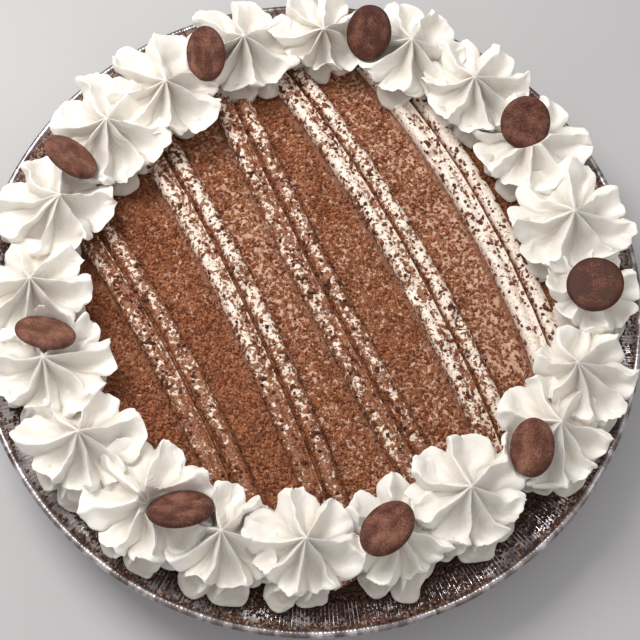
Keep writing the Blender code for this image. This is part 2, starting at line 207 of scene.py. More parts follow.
def shades(tree, factor, *stops):
    """A colour ramp through (place, red, green, blue) stops."""
    ramp = add_node(tree, "ShaderNodeValToRGB", {"Fac": factor})
    elements = ramp.color_ramp.elements
    while len(elements) < len(stops):
        elements.new(0.5)
    for element, (place, *colour) in zip(elements, stops):
        element.position = place
        element.color = (*colour, 1.0)
    return ramp.outputs["Color"]


def blend(tree, factor, first, second):
    """Mixes two colours: the first where the factor is 0, the second where it is 1."""
    mix = add_node(tree, "ShaderNodeMix", data_type="RGBA")
    for socket, value in ((mix.inputs[0], factor), (mix.inputs[6], first), (mix.inputs[7], second)):
        if isinstance(value, bpy.types.NodeSocket):
            tree.links.new(value, socket)
        else:
            socket.default_value = value if isinstance(value, float) else (*value, 1.0)
    return mix.outputs[2]


def spread(tree, value, low, high, to_low=0.0, to_high=1.0):
    """Maps low..high onto to_low..to_high, and holds the ends."""
    feeds = {"Value": value, "From Min": low, "From Max": high, "To Min": to_low, "To Max": to_high}
    return add_node(tree, "ShaderNodeMapRange", feeds).outputs["Result"]


def mark(tree, name):
    """The value of a mesh's named mark."""
    return add_node(tree, "ShaderNodeAttribute", attribute_name=name).outputs["Fac"]


def roughen(tree, height, distance, strength=1.0):
    """Raises the surface by the height, in metres at full height, through the shader's normal."""
    feeds = {"Height": height, "Distance": distance, "Strength": strength}
    feed(tree, "Normal", add_node(tree, "ShaderNodeBump", feeds).outputs["Normal"])


def tin_profile():
    """Radius, height and pleat depth along the foil: up the outside, round the bead, down the inside.
    The bead is an arc of a circle in the profile's own plane."""
    turn = np.radians(np.linspace(-135, 150, 11))
    bead = swept_round(BEAD_RADIUS, BEAD_PLEATS, turn) + (*BEAD_CENTRE, 0.0)
    return np.concatenate([TIN_OUTSIDE, bead, TIN_INSIDE])


def make_tin(material):
    """Each profile point is turned round the axis. A pleat is a zigzag of four columns that pushes
    the foil along the profile's normal, deeper or shallower from pleat to pleat. Marks are 1 on the
    bead's darker stretches, and where the foil is made brighter, at the near left."""
    rng = np.random.default_rng(2)
    radius, height, depth = tin_profile().T[:, :, None]
    pleat, column = np.divmod(np.arange(TIN_PLEATS * COLUMNS_PER_PLEAT), COLUMNS_PER_PLEAT)
    shift = rng.uniform(-0.22, 0.22, TIN_PLEATS)[pleat]
    azimuth = 2 * np.pi * (pleat + (column + shift) / COLUMNS_PER_PLEAT) / TIN_PLEATS
    edge = swept_round(TIN_RADIUS, 0.0, azimuth)
    zigzag = np.array([0.0, 1.0, 0.0, -1.0])[column] * rng.uniform(0.25, 1.35, TIN_PLEATS)[pleat]
    zigzag = zigzag * np.clip(0.85 + 1.1 * lumps(edge, 0.0045, 5), 0.15, 1.5)
    lean = np.where(height > 0.0243, 0.93, 0.62) * np.where(height < 0.0004, 0.0, 1.0)
    out = depth * zigzag
    sag = 0.00035 * lumps(edge, 0.021, 3) * rising(radius, 0.113, 0.01)
    reach = radius + out * np.sqrt(1 - lean**2) - np.abs(sag) * 0.5
    level = np.clip(height - out * lean + sag * 0.8 - 0.0002 * (height > 0.027), 0.0, TIN_TOP)
    points = swept_round(reach, np.where(height < 0.0001, 0.0, level), azimuth)
    darker_stretches = 0.5 + 0.7 * lumps(edge, 0.006, 6) + 0.3 * rng.uniform(-1, 1, TIN_PLEATS)[pleat]
    # The foil of the flange is made brighter at the near left
    near_left_brighter = hump(np.degrees(azimuth), 222, 26) * (radius > 0.112)
    marks = {"bead": rising(radius, 0.1253, 0.0004) * np.clip(darker_stretches, 0, 1), "near_left_brighter": near_left_brighter}
    piece = closed_piece("pleated_foil_tin", points, material, marks)
    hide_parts("foil_tin")


foil, foil_tree = new_finish("pleated foil", {"Roughness": 0.27, "Metallic": 1.0})
smudges = noise(foil_tree, 140.0, 3.0)
# The foil is made brighter at the near left, and the bead darker in stretches
near_left_lift = spread(foil_tree, mark(foil_tree, "near_left_brighter"), 0.0, 1.0, 0.0, 0.14)
brightness = reckon(foil_tree, "ADD", smudges, near_left_lift)
foil_tone = shades(foil_tree, brightness, (0.36, *FOIL_SMUDGED), (0.60, *FOIL_BRIGHT))
feed(foil_tree, "Base Color", blend(foil_tree, mark(foil_tree, "bead"), foil_tone, FOIL_BEAD))
feed(foil_tree, "Roughness", spread(foil_tree, smudges, 0.3, 0.7, 0.34, 0.20))
roughen(foil_tree, noise(foil_tree, 1500.0, 1.0), 0.0002, 0.5)
make_tin(foil)


# ---------------------------------------------------------------------------------- crumb crust
# The crust is dark biscuit crumb pressed into the tin and baked. Its top edge is rough, with loose
# granules, and stands just above the foot of the cream.
CRUST_FOOT_RADIUS = 0.0930
CRUST_TOP_RADIUS = 0.1145
CRUST_TOP = 0.0266
CRUST_WALL = 0.0055
CRUST_COLUMNS = 900
CRUST_GRAIN = 0.0011
CRUST_RELIEF = 0.00045
CRUST_SHADES = ((0.30, 0.012, 0.006, 0.004), (0.52, 0.045, 0.018, 0.010), (0.75, 0.110, 0.050, 0.028))


def make_crust(material):
    """A closed profile turned round the axis. Lumps of two sizes raise and lower its top edge, and
    draw it in."""
    foot, top = CRUST_FOOT_RADIUS, CRUST_TOP_RADIUS
    knots = np.array(
        [
            (foot - 0.0030, 0.0011),
            (foot, 0.0011),
            (foot + 0.0022, 0.0027),
            (top - 0.0006, 0.0250),
            (top - 0.0010, 0.0262),
            (top - 0.0022, 0.0267),
            (top - CRUST_WALL + 0.0010, 0.0267),
            (top - CRUST_WALL, 0.0256),
            (foot - 0.0022, 0.0073),
            (foot - 0.0036, 0.0063),
        ]
    )
    along = np.concatenate([[0.0], np.cumsum(np.hypot(*np.diff(knots, axis=0).T))])
    wall, rough_top = np.linspace(0, along[3], 12)[:-1], np.linspace(along[3], along[7], 26)
    steps = np.concatenate([wall, rough_top, along[8:]])
    radius = np.interp(steps, along, knots[:, 0])[:, None]
    height = np.interp(steps, along, knots[:, 1])[:, None]
    points = swept_round(radius, height, np.linspace(0, 2 * np.pi, CRUST_COLUMNS, endpoint=False))
    relief = lumps(points, CRUST_GRAIN, 4) + 0.6 * lumps(points, CRUST_GRAIN * 2.6, 5)
    relief = CRUST_RELIEF * relief * rising(height, 0.022, 0.003)
    points[..., 2] += relief * 0.7 - 0.0002 * (height > 0.025)
    points[..., :2] *= (1 - np.abs(relief) / 0.11)[..., None]
    piece = closed_piece("baked_crumb_crust", points, material)
    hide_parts("crumb_crust")


crumb, crumb_tree = new_finish("baked dark crumb", {"Roughness": 0.85})
crumb_grain = noise(crumb_tree, 900.0, 3.0, 0.6)
feed(crumb_tree, "Base Color", shades(crumb_tree, crumb_grain, *CRUST_SHADES))
roughen(crumb_tree, crumb_grain, 0.0012)
make_crust(crumb)


# ---------------------------------------------------------------------------- chocolate filling
# The filling is a set chocolate cream, spread to a low dome. Fine shavings of chocolate are strewn
# over it, thick at the lower left and thinner to the right, where the pale cream shows between them.
FILLING_EDGE_RADIUS = 0.1083
FILLING_EDGE_HEIGHT = 0.0270
FILLING_DOME = 0.0050
FILLING_COLUMNS = 420
FILLING_RINGS = 170
# Side of the filling below its edge: radius, height
FILLING_SIDE = ((0.0870, 0.0067), (0.0890, 0.0085), (0.0990, 0.0178))
# Lines piped on the filling: distance of the middle from the centre, turn, bow over 100 mm, how
# bare of shavings and how darkly painted in shade the filling is beside the line's left edge, how
# much of the line shavings hide, and how much more at its near end
LINE_HEADING = -57.3
LINE_WIDTH = 0.0158
LINES = (
    (-0.0590, 1.8, -0.0073, 0.45, 0.88, 0.35),
    (-0.0257, -1.9, -0.0059, 0.55, 0.66, 0.42),
    (0.0037, -1.0, 0.0040, 0.60, 0.83, 0.12),
    (0.0401, 0.5, -0.0069, 0.80, 0.62, 0.05),
    (0.0755, -0.8, -0.0115, 0.90, 0.36, 0.00),
)
BARE_WIDTH = 0.0021
# Shavings' cover: distance across the pie from lower left to upper right, and the share they hide
SHAVING_COVER = ((-0.090, 1.12), (-0.042, 0.95), (-0.011, 0.64), (0.022, 0.80), (0.058, 0.59), (0.090, 0.39))
SHAVING_SHADES = ((0.34, 0.120, 0.039, 0.016), (0.50, 0.252, 0.088, 0.036), (0.66, 0.415, 0.172, 0.080))
PALE_SHADES = ((0.35, 0.450, 0.240, 0.155), (0.65, 0.650, 0.420, 0.310))
# Painted shade: the strips beside the lines' left edges are bare of shavings, and this darker brown paints
# the shade along the lines
BARE_SHADED_BROWN = (0.250, 0.115, 0.072)
FLECK_BEND = 0.0009


def place(azimuth, radius):
    """X and Y at an azimuth in degrees and a radius."""
    turn = math.radians(azimuth)
    return np.array([radius * math.cos(turn), radius * math.sin(turn)])


along_lines = place(LINE_HEADING, 1.0)
across_lines = np.array([-along_lines[1], along_lines[0]])


def filling_height(radius):
    """The dome: the edge's height plus the rise times one minus the squared share of the radius."""
    share = np.minimum(radius, FILLING_EDGE_RADIUS) / FILLING_EDGE_RADIUS
    return FILLING_EDGE_HEIGHT + FILLING_DOME * (1 - share**2)


def line_offset(number, along):
    """How far a line's middle lies from the centre at each distance along it: its offset, plus its
    turn times the distance, plus its bow times the squared distance."""
    offset, turn, bow = LINES[number][:3]
    return offset + np.tan(np.radians(turn)) * along + bow * (along / 0.1) ** 2


def line_places(points):
    """Each point's distance across the lines and along them, from the centre."""
    x, y = points[..., 0], points[..., 1]
    return x * across_lines[0] + y * across_lines[1], x * along_lines[0] + y * along_lines[1]


def shaving_cover(points):
    """Share of the surface that shavings hide: read off the table across the pie, changed evenly
    along it, raised beyond the last line, where the extra dark is partly painted shade of the
    rosettes, and at the far end, and made patchy by two sizes of lumps."""
    across, along = line_places(points)
    flat = points * np.array([1.0, 1.0, 0.0])
    cover = np.interp(across, *np.transpose(SHAVING_COVER))
    cover += np.clip(along, -0.03, 0.08) * np.where(across < 0, 1.0, -0.4)
    # Beyond the last line the cover is raised: more shavings, and partly painted shade of the rosettes
    cover += 0.9 * rising(across, 0.074, 0.004) + 0.06 * rising(-along, 0.050, 0.02)
    return np.clip(cover + 0.11 * lumps(flat, 0.014, 8) + 0.16 * lumps(flat, 0.0032, 9), 0.05, 1.0)


def beside_lines(points):
    """The line's own share in the narrow strip at its left edge, bare of shavings and in painted
    shade, falling to 0 beyond it.
    """
    across, along = line_places(points)
    bare_and_shaded = np.zeros(across.shape)
    for number in range(len(LINES)):
        gap = line_offset(number, along) - LINE_WIDTH / 2 - across
        near = np.clip(1.4 - gap / BARE_WIDTH, 0, 1) * (gap > -LINE_WIDTH / 2)
        bare_and_shaded = np.maximum(bare_and_shaded, LINES[number][3] * near)
    return bare_and_shaded


def make_filling(material):
    """Rings of points from the foot up to the edge, then over the dome to its middle. Lumps of two
    sizes raise and lower the dome, but not in the bare strips."""
    side = np.array(FILLING_SIDE)
    dome = FILLING_EDGE_RADIUS * (1 - np.linspace(0, 1, FILLING_RINGS) ** 1.05)[:-1]
    radius = np.concatenate([side[:, 0], dome])[:, None]
    height = np.concatenate([side[:, 1], filling_height(dome)])[:, None]
    points = swept_round(radius, height, np.linspace(0, 2 * np.pi, FILLING_COLUMNS, endpoint=False))
    bare_and_shaded = beside_lines(points)
    on_top = (np.arange(len(radius)) > len(side))[:, None]
    relief = 0.00030 * lumps(points, 0.007, 6) + 0.00016 * lumps(points, 0.0015, 7)
    points[..., 2] += on_top * (relief * (1 - bare_and_shaded) - 0.0002)
    marks = {"cover": shaving_cover(points), "bare_and_shaded": bare_and_shaded}
    piece = closed_piece("set_chocolate_filling", points, material, marks)
    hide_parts("chocolate_filling")


# Fine shavings too small to be pieces of their own: warped noise, cut at a level that hides the
# given share of the surface
strewn = bpy.data.node_groups.new("strewn shavings", "ShaderNodeTree")
strewn.interface.new_socket("Where", in_out="INPUT", socket_type="NodeSocketVector")
strewn_sockets = {"Flecks per metre": "INPUT", "Cover": "INPUT", "Mask": "OUTPUT", "Height": "OUTPUT"}
for socket, way in strewn_sockets.items():
    strewn.interface.new_socket(socket, in_out=way, socket_type="NodeSocketFloat")
strewn_in = strewn.nodes.new("NodeGroupInput").outputs
warp = noise(strewn, strewn_in["Flecks per metre"], 1.0, 0.5, strewn_in["Where"], "Color")
aside = reckon(strewn, "SUBTRACT", warp, (0.5, 0.5, 0.5), "ShaderNodeVectorMath")
small = reckon(strewn, "MULTIPLY", aside, (FLECK_BEND,) * 3, "ShaderNodeVectorMath")
bent = reckon(strewn, "ADD", strewn_in["Where"], small, "ShaderNodeVectorMath")
grain = noise(strewn, strewn_in["Flecks per metre"], 2.0, 0.6, bent)
above = reckon(strewn, "SUBTRACT", grain, spread(strewn, strewn_in["Cover"], 0.0, 1.0, 0.70, 0.36))
strewn_mask = spread(strewn, above, -0.025, 0.025)
strewn_out = strewn.nodes.new("NodeGroupOutput").inputs
strewn.links.new(strewn_mask, strewn_out["Mask"])
strewn.links.new(reckon(strewn, "MULTIPLY", strewn_mask, grain), strewn_out["Height"])


def strew(tree, per_metre, cover):
    """Mask and height of the fine shavings, in one material, with its own cover."""
    where = add_node(tree, "ShaderNodeTexCoord").outputs["Object"]
    feeds = {"Where": where, "Flecks per metre": per_metre, "Cover": cover}
    group = add_node(tree, "ShaderNodeGroup", feeds, node_tree=strewn)
    return group.outputs["Mask"], group.outputs["Height"]


choc, choc_tree = new_finish("chocolate cream under shavings", {"Roughness": 0.75, "Specular IOR Level": 0.2})
choc_mask, choc_height = strew(choc_tree, 600.0, mark(choc_tree, "cover"))
pale = shades(choc_tree, noise(choc_tree, 420.0), *PALE_SHADES)
flecks = shades(choc_tree, noise(choc_tree, 1100.0, 2.0, 0.6), *SHAVING_SHADES)
strewn_colour = blend(choc_tree, choc_mask, pale, flecks)
# The bare strips take the darker brown: painted shade along the lines' left edges
feed(choc_tree, "Base Color", blend(choc_tree, mark(choc_tree, "bare_and_shaded"), strewn_colour, BARE_SHADED_BROWN))
roughen(choc_tree, choc_height, 0.0005)
make_filling(choc)


# --------------------------------------------------------------------------------- cream lines
# Whipped cream piped straight across the filling through a flat serrated nozzle. Each line has a
# broad ridge, a shallow fold, a thin crest, a deep cleft and a second ridge, with dents and breaks.
LINE_HEIGHT = 0.0050
LINE_NEAR_END = 0.1065
LINE_FAR_END = 0.1105
LINE_LIFT = 0.0004
LINE_STATIONS = 440
LINE_COLUMNS = 58
LINE_WHITE = ((0.32, 0.70, 0.53, 0.42), (0.52, 0.92, 0.835, 0.745))
LINE_STAINED = ((0.32, 0.60, 0.38, 0.27), (0.52, 0.84, 0.690, 0.57))
CLEFT_BROWN = (0.300, 0.105, 0.050)
# Section: place across and height, as shares of the width and height
LINE_SECTION = (
    (-0.500, 0.00),
    (-0.500, 0.22),
    (-0.490, 0.50),
    (-0.455, 0.78),
    (-0.400, 0.93),
    (-0.330, 1.00),
    (-0.250, 0.96),
    (-0.190, 0.82),
    (-0.145, 0.72),
    (-0.105, 0.75),
    (-0.062, 0.89),
    (-0.040, 0.99),
    (-0.026, 0.95),
    (-0.008, 0.62),
    (0.014, 0.36),
    (0.050, 0.33),
    (0.082, 0.64),
    (0.140, 0.90),
    (0.230, 1.00),
    (0.330, 0.97),
    (0.410, 0.84),
    (0.462, 0.60),
    (0.492, 0.30),
    (0.500, 0.00),
)
# Breaks where the nozzle skipped: line, distance along, place across, length and how deep
LINE_BREAKS = (
    (4, -0.0290, -0.33, 0.0030, 0.75),
    (4, 0.0050, -0.36, 0.0040, 0.35),
    (3, 0.0180, -0.36, 0.0055, 0.60),
    (3, -0.0020, 0.36, 0.0045, 0.50),
    (3, 0.0350, 0.34, 0.0035, 0.40),
    (2, -0.0200, -0.34, 0.0060, 0.45),
    (2, 0.0260, 0.33, 0.0050, 0.45),
    (1, -0.0150, 0.34, 0.0060, 0.50),
    (1, 0.0250, -0.34, 0.0060, 0.50),
    (0, 0.0050, 0.30, 0.0070, 0.45),
    (0, 0.0300, -0.30, 0.0070, 0.45),
)


def make_line(number, material):
    """The section is carried along the line's bowed middle. At each place its width and height
    change a little, and a break lowers the ridge it falls on. Returns the grid for the shavings."""
    far = math.sqrt(LINE_FAR_END**2 - LINES[number][0] ** 2)
    near = math.sqrt(LINE_NEAR_END**2 - LINES[number][0] ** 2)
    along = np.linspace(-far, near, LINE_STATIONS)[:, None]
    section = np.array(LINE_SECTION)
    reach = np.concatenate([[0.0], np.cumsum(np.hypot(*(np.diff(section, axis=0) * (1.0, 0.35)).T))])
    corner = np.interp(np.linspace(0, reach[-1], LINE_COLUMNS), reach, np.arange(len(section)))
    side, rise = (np.interp(corner, np.arange(len(section)), each)[None] for each in section.T)
    key = np.stack(np.broadcast_arrays(along, side * 0.006 + number, 0.0), axis=-1)
    width = LINE_WIDTH * (1 + 0.035 * lumps(key, 0.009, 11))
    height = LINE_HEIGHT * (1 + 0.10 * lumps(key, 0.011, 12) + 0.07 * lumps(key, 0.0035, 13))
    for line, centre, across, length, deep in LINE_BREAKS:
        if line == number:
            close = hump(along, centre, length, 4) * hump(side, across, 0.16, 4)
            height = height * (1 - deep * close)
    past = np.maximum(along - near, -along - far) / 0.005 + 1
    height = height * (1 - 0.75 * np.clip(past, 0, 1) ** 2)
    wander = 0.0004 * lumps(key * np.array([1.0, 0.0, 0.0]), 0.012, 14 + number)
    offset = line_offset(number, along) + side * width + wander
    x = along * along_lines[0] + offset * across_lines[0]
    y = along * along_lines[1] + offset * across_lines[1]
    base = filling_height(np.hypot(x, y))
    z = base + np.where(rise > 0, LINE_LIFT + rise * height, LINE_LIFT - 0.0006)
    points = np.stack([x, y, z], axis=-1)
    fine = lumps(points, 0.0022, 15) * 0.00018 + lumps(points, 0.0009, 16) * 0.00008
    points[..., 2] += fine * (rise > 0.3)
    cleft = hump(side, 0.032, 0.045) + 0 * along
    crests = hump(side, -0.34, 0.14) + hump(side, 0.27, 0.14) + 0.8 * hump(side, -0.045, 0.035)
    patches = 0.22 * lumps(points, 0.0045, 17) + 0.12 * lumps(points, 0.0018, 18)
    cover = LINES[number][4] + LINES[number][5] * rising(along, 0.005, 0.050)
    cover = cover - 0.26 * crests + 0.45 * cleft + patches
    cover = np.clip(cover - 0.3 * rising(np.hypot(x, y), 0.094, 0.008), 0, 1)
    marks = {"cover": cover, "cleft": cleft}
    piece = closed_piece(f"piped_line_{number + 1}", points, material, marks, clockwise=True)
    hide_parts(f"cream_line_{number + 1}")
    return points, cover, cleft


piped, piped_tree = new_finish("piped cream under shavings", {"Roughness": 0.50})
piped_mask, piped_height = strew(piped_tree, 620.0, mark(piped_tree, "cover"))
white, stained = (
    shades(piped_tree, noise(piped_tree, 850.0), *stops) for stops in (LINE_WHITE, LINE_STAINED)
)
piped_base = blend(piped_tree, spread(piped_tree, mark(piped_tree, "cover"), 0.20, 0.70), white, stained)
red_floor = blend(piped_tree, mark(piped_tree, "cleft"), piped_base, CLEFT_BROWN)
piped_flecks = shades(piped_tree, noise(piped_tree, 1200.0, 2.0, 0.6), *SHAVING_SHADES)
feed(piped_tree, "Base Color", blend(piped_tree, piped_mask, red_floor, piped_flecks))
roughen(piped_tree, piped_height, 0.0005)
line_grids = [make_line(number, piped) for number in range(len(LINES))]


# ------------------------------------------------------------------------------ chocolate discs
# Round drops of milk chocolate, flat below and faintly domed above, pressed slantwise into the
# cream while it was soft. Their faces are mottled and their edges a little uneven.
DISC_THICKNESS = 0.0034
DISC_ROWS = 34
DISC_COLUMNS = 88
DISC_SHADES = (
    (0.0, 0.066, 0.023, 0.0155),
    (0.35, 0.122, 0.046, 0.031),
    (0.65, 0.195, 0.083, 0.055),
    (1.0, 0.320, 0.160, 0.112),
)
# Azimuth, distance from the centre, height, diameter, azimuth that the face leans to, lean, how
# deep cream laps over the rim (azimuth on the face, 0 being downhill, depth and spread), and how
# light the chocolate is
DISCS = (
    (120.4, 0.1015, 0.0507, 0.0216, 214.0, 54.0, (20.0, 0.0030, 55.0), 0.43),
    (83.9, 0.1050, 0.0508, 0.0220, 211.0, 48.5, (0.0, 0.0026, 60.0), 0.20),
    (43.8, 0.1041, 0.0512, 0.0208, 300.0, 32.0, (0.0, 0.0030, 50.0), 0.37),
    (5.0, 0.1048, 0.0500, 0.0214, 186.0, 14.5, (30.0, 0.0014, 40.0), 0.00),
    (326.4, 0.1005, 0.0502, 0.0216, 189.0, 57.5, (15.0, 0.0030, 30.0), 0.55),
    (291.2, 0.0960, 0.0503, 0.0222, 150.0, 44.5, (180.0, 0.0010, 40.0), 0.42),
    (247.6, 0.0976, 0.0498, 0.0240, 101.0, 51.5, (0.0, 0.0030, 70.0), 0.38),
    (198.7, 0.0994, 0.0502, 0.0222, 77.0, 48.0, (0.0, 0.0012, 60.0), 0.66),
    (158.3, 0.1034, 0.0503, 0.0226, 45.0, 49.0, (0.0, 0.0026, 60.0), 0.60),
)
# Section, from the middle below to the middle above: place, share of the radius and of the thickness
DISC_SECTION = (
    (0.00, 0.00, -0.50),
    (0.12, 0.50, -0.50),
    (0.26, 0.90, -0.50),
    (0.34, 0.97, -0.38),
    (0.42, 1.00, -0.12),
    (0.50, 0.985, 0.16),
    (0.58, 0.93, 0.36),
    (0.68, 0.80, 0.45),
    (0.84, 0.45, 0.49),
    (1.00, 0.00, 0.50),
)


def smooth_through(at, knots):
    """Cubic curve through knots of (place, value, ...), each with the slope of its two neighbours."""
    knots = np.asarray(knots, float)
    places, values = knots[:, 0], knots[:, 1:]
    slopes = np.gradient(values, places, axis=0)
    low = np.clip(np.searchsorted(places, at, side="right") - 1, 0, len(places) - 2)
    span = (places[low + 1] - places[low])[..., None]
    t = (np.asarray(at) - places[low])[..., None] / span
    start, end = 2 * t**3 - 3 * t**2 + 1, 3 * t**2 - 2 * t**3
    return (
        start * values[low]
        + end * values[low + 1]
        + (t**3 - 2 * t**2 + t) * span * slopes[low]
        + (t**3 - t**2) * span * slopes[low + 1]
    )


def disc_axes(number):
    """Centre of a disc, and its three axes as rows: downhill, level and out of its face."""
    azimuth, radius, height, _, lean_azimuth, lean = DISCS[number][:6]
    facing = Matrix.Rotation(math.radians(lean_azimuth), 3, "Z") @ Matrix.Rotation(math.radians(lean), 3, "Y")
    return np.array([*place(azimuth, radius), height]), np.array(facing).T


def make_disc(number, material):
    """The section is turned round the disc's own axis, with a slightly uneven edge and surface."""
    centre, axes = disc_axes(number)
    share = np.linspace(0.01, 0.99, DISC_ROWS)
    across, height = smooth_through(share, DISC_SECTION).T[:, :, None]
    azimuth = np.linspace(0, 2 * np.pi, DISC_COLUMNS, endpoint=False)
    edge = 1 + 0.012 * lumps(swept_round(1.0, number * 1.0, azimuth), 0.55, 21) - 0.010
    radius = np.clip(across, 0, 1) * edge * DISCS[number][3] / 2
    points = swept_round(radius, height * DISC_THICKNESS, azimuth)
    relief = 0.00010 * lumps(points + number, 0.004, 22) + 0.00005 * lumps(points, 0.0012, 23)
    points[..., 2] += (height > 0.2) * (relief - 0.00012)
    # Painted shade: the underside and the side, fading over the top edge, are marked to be darkened
    painted_rim_shade = rising(share, 0.74, -0.16)[:, None] + 0 * radius
    marks = {"painted_rim_shade": painted_rim_shade, "light": np.full(radius.shape, DISCS[number][7])}
    piece = closed_piece(f"chocolate_drop_{number + 1}", centre + points @ axes, material, marks)
    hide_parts(f"chocolate_disc_{number + 1}")


drop, drop_tree = new_finish("milk chocolate", {"Roughness": 0.42, "Specular IOR Level": 0.20})
smears = noise(drop_tree, 170.0)
bloom = noise(drop_tree, 1500.0, 3.0, 0.65)
mottled = spread(drop_tree, reckon(drop_tree, "ADD", bloom, smears), 0.80, 1.20, -1.0, 1.0)
even = spread(drop_tree, mark(drop_tree, "light"), 0.0, 1.0, 0.52, 0.22)
# Painted shade on the disc's side and underside
rim_shade_amount = reckon(drop_tree, "MULTIPLY", mark(drop_tree, "painted_rim_shade"), -0.22)
lighter = reckon(drop_tree, "ADD", mark(drop_tree, "light"), rim_shade_amount)
tone = reckon(drop_tree, "ADD", reckon(drop_tree, "MULTIPLY", mottled, even), lighter)
feed(drop_tree, "Base Color", shades(drop_tree, tone, *DISC_SHADES))
feed(drop_tree, "Roughness", spread(drop_tree, smears, 0.3, 0.7, 0.45, 0.62))
roughen(drop_tree, bloom, 0.00030, 0.7)
for number in range(len(DISCS)):
    make_disc(number, drop)


# -------------------------------------------------------------------------------- cream rosettes
# Whipped cream piped round the edge with a large star nozzle: squeezed, turned a little and lifted,
# so that each has a skirt, a lip of petals over it and sharp folds running up to its peak.
# Peak's azimuth and distance from the centre, body's distance further out, reach, height and the
# azimuth of one crest
ROSETTES = (
    (111.1, 0.0999, 0.0045, 0.0230, 0.0300, 156.0),
    (93.8, 0.1006, 0.0075, 0.0203, 0.0305, 44.0),
    (74.0, 0.1033, 0.0040, 0.0226, 0.0300, 16.0),
    (57.9, 0.1021, 0.0045, 0.0228, 0.0305, 76.0),
    (40.5, 0.1016, 0.0030, 0.0230, 0.0265, 26.0),
    (20.4, 0.1012, 0.0015, 0.0248, 0.0300, 51.0),
    (5.0, 0.1030, 0.0045, 0.0198, 0.0260, 36.0),
    (346.1, 0.1010, 0.0065, 0.0203, 0.0300, 23.0),
    (333.0, 0.1030, 0.0020, 0.0225, 0.0300, 11.0),
    (310.1, 0.0955, 0.0032, 0.0227, 0.0300, 8.0),
    (293.0, 0.0973, 0.0020, 0.0218, 0.0260, 6.0),
    (273.8, 0.0975, 0.0015, 0.0212, 0.0310, 11.0),
    (257.6, 0.0999, 0.0028, 0.0205, 0.0300, 12.0),
    (241.0, 0.1018, 0.0000, 0.0248, 0.0300, 41.0),
    (222.2, 0.1017, 0.0016, 0.0226, 0.0305, 31.0),
    (205.4, 0.1016, 0.0004, 0.0228, 0.0295, 31.0),
    (187.9, 0.1025, 0.0010, 0.0238, 0.0300, 14.0),
    (169.4, 0.0975, 0.0086, 0.0226, 0.0305, 28.0),
    (148.6, 0.0980, 0.0038, 0.0244, 0.0300, 14.0),
    (132.2, 0.0940, 0.0056, 0.0235, 0.0300, -4.0),
)
PETALS = 7
ROSETTE_ROWS = 90
ROSETTE_COLUMNS = 29 * PETALS
ROSETTE_SWIRL = -24.0
# Furthest that rosettes reach from the pie's middle, above the foot and at it, and the distance
# before that over which they are held back
ROSETTE_LIMIT = 0.1270
ROSETTE_FOOT_LIMIT = 0.1212
ROSETTE_HOLD = 0.005
CREAM_SHADES = ((0.35, 0.905, 0.868, 0.810), (0.65, 0.935, 0.910, 0.870))
# Painted shade: cream in folds, in the petals' hollows and under the lip is darkened toward this colour
PAINTED_SHADE_COLOUR = (0.56, 0.51, 0.44)
# Side of a rosette from its foot to its peak: place, share of the reach, share of the height and
# how deep the folds cut there
ROSETTE_SIDE = (
    (0.00, 0.93, 0.000, 0.30),
    (0.05, 0.995, 0.018, 0.33),
    (0.085, 1.01, 0.050, 0.34),
    (0.11, 0.99, 0.085, 0.34),
    (0.16, 0.91, 0.160, 0.33),
    (0.21, 0.82, 0.225, 0.31),
    (0.27, 0.73, 0.295, 0.28),
    (0.34, 0.68, 0.360, 0.25),
    (0.40, 0.75, 0.410, 0.23),
    (0.45, 0.90, 0.452, 0.23),
    (0.48, 0.99, 0.484, 0.24),
    (0.505, 1.00, 0.510, 0.25),
    (0.53, 0.96, 0.526, 0.28),
    (0.61, 0.80, 0.566, 0.42),
    (0.71, 0.60, 0.650, 0.57),
    (0.82, 0.36, 0.775, 0.60),
    (0.91, 0.16, 0.895, 0.50),
    (1.00, 0.00, 1.000, 0.00),
)


def pressed(points, number):
    """Cream under a disc sinks straight down to the plane just below it. Beside the disc's outline,
    as seen from above, it may rise by 2.2 times the clear distance. Where cream laps over, the
    outline is drawn in."""
    azimuth, radius, height, diameter, lean_azimuth, lean, lap = DISCS[number][:7]
    lap_azimuth, lap_depth, lap_spread = lap
    apart = points[..., :2] - place(azimuth, radius)
    downhill, slope = place(lean_azimuth, 1.0), math.radians(lean)
    along = apart @ downhill
    across = apart @ np.array([-downhill[1], downhill[0]])
    short, long = diameter / 2 * math.cos(slope), diameter / 2
    turn = np.degrees(np.arctan2(across / long, along / short)) - lap_azimuth
    turn = (turn + 180) % 360 - 180
    share = np.hypot(across / long, along / short)
    drawn = 1 + (0.0003 - lap_depth * hump(turn, 0, lap_spread)) / long
    clear = np.maximum(share - drawn, 0) * np.hypot(across, along) / np.maximum(share, 1e-9)
    below = (DISC_THICKNESS / 2 + 0.0002) / math.cos(slope)
    ceiling = height - np.clip(along, -short, short) * math.tan(slope) - below
    over = np.maximum(points[..., 2] - ceiling - 2.2 * clear, 0) * rising(clear, 0.006, -0.003)
    return points - over[..., None] * np.array([0.0, 0.0, 1.0])


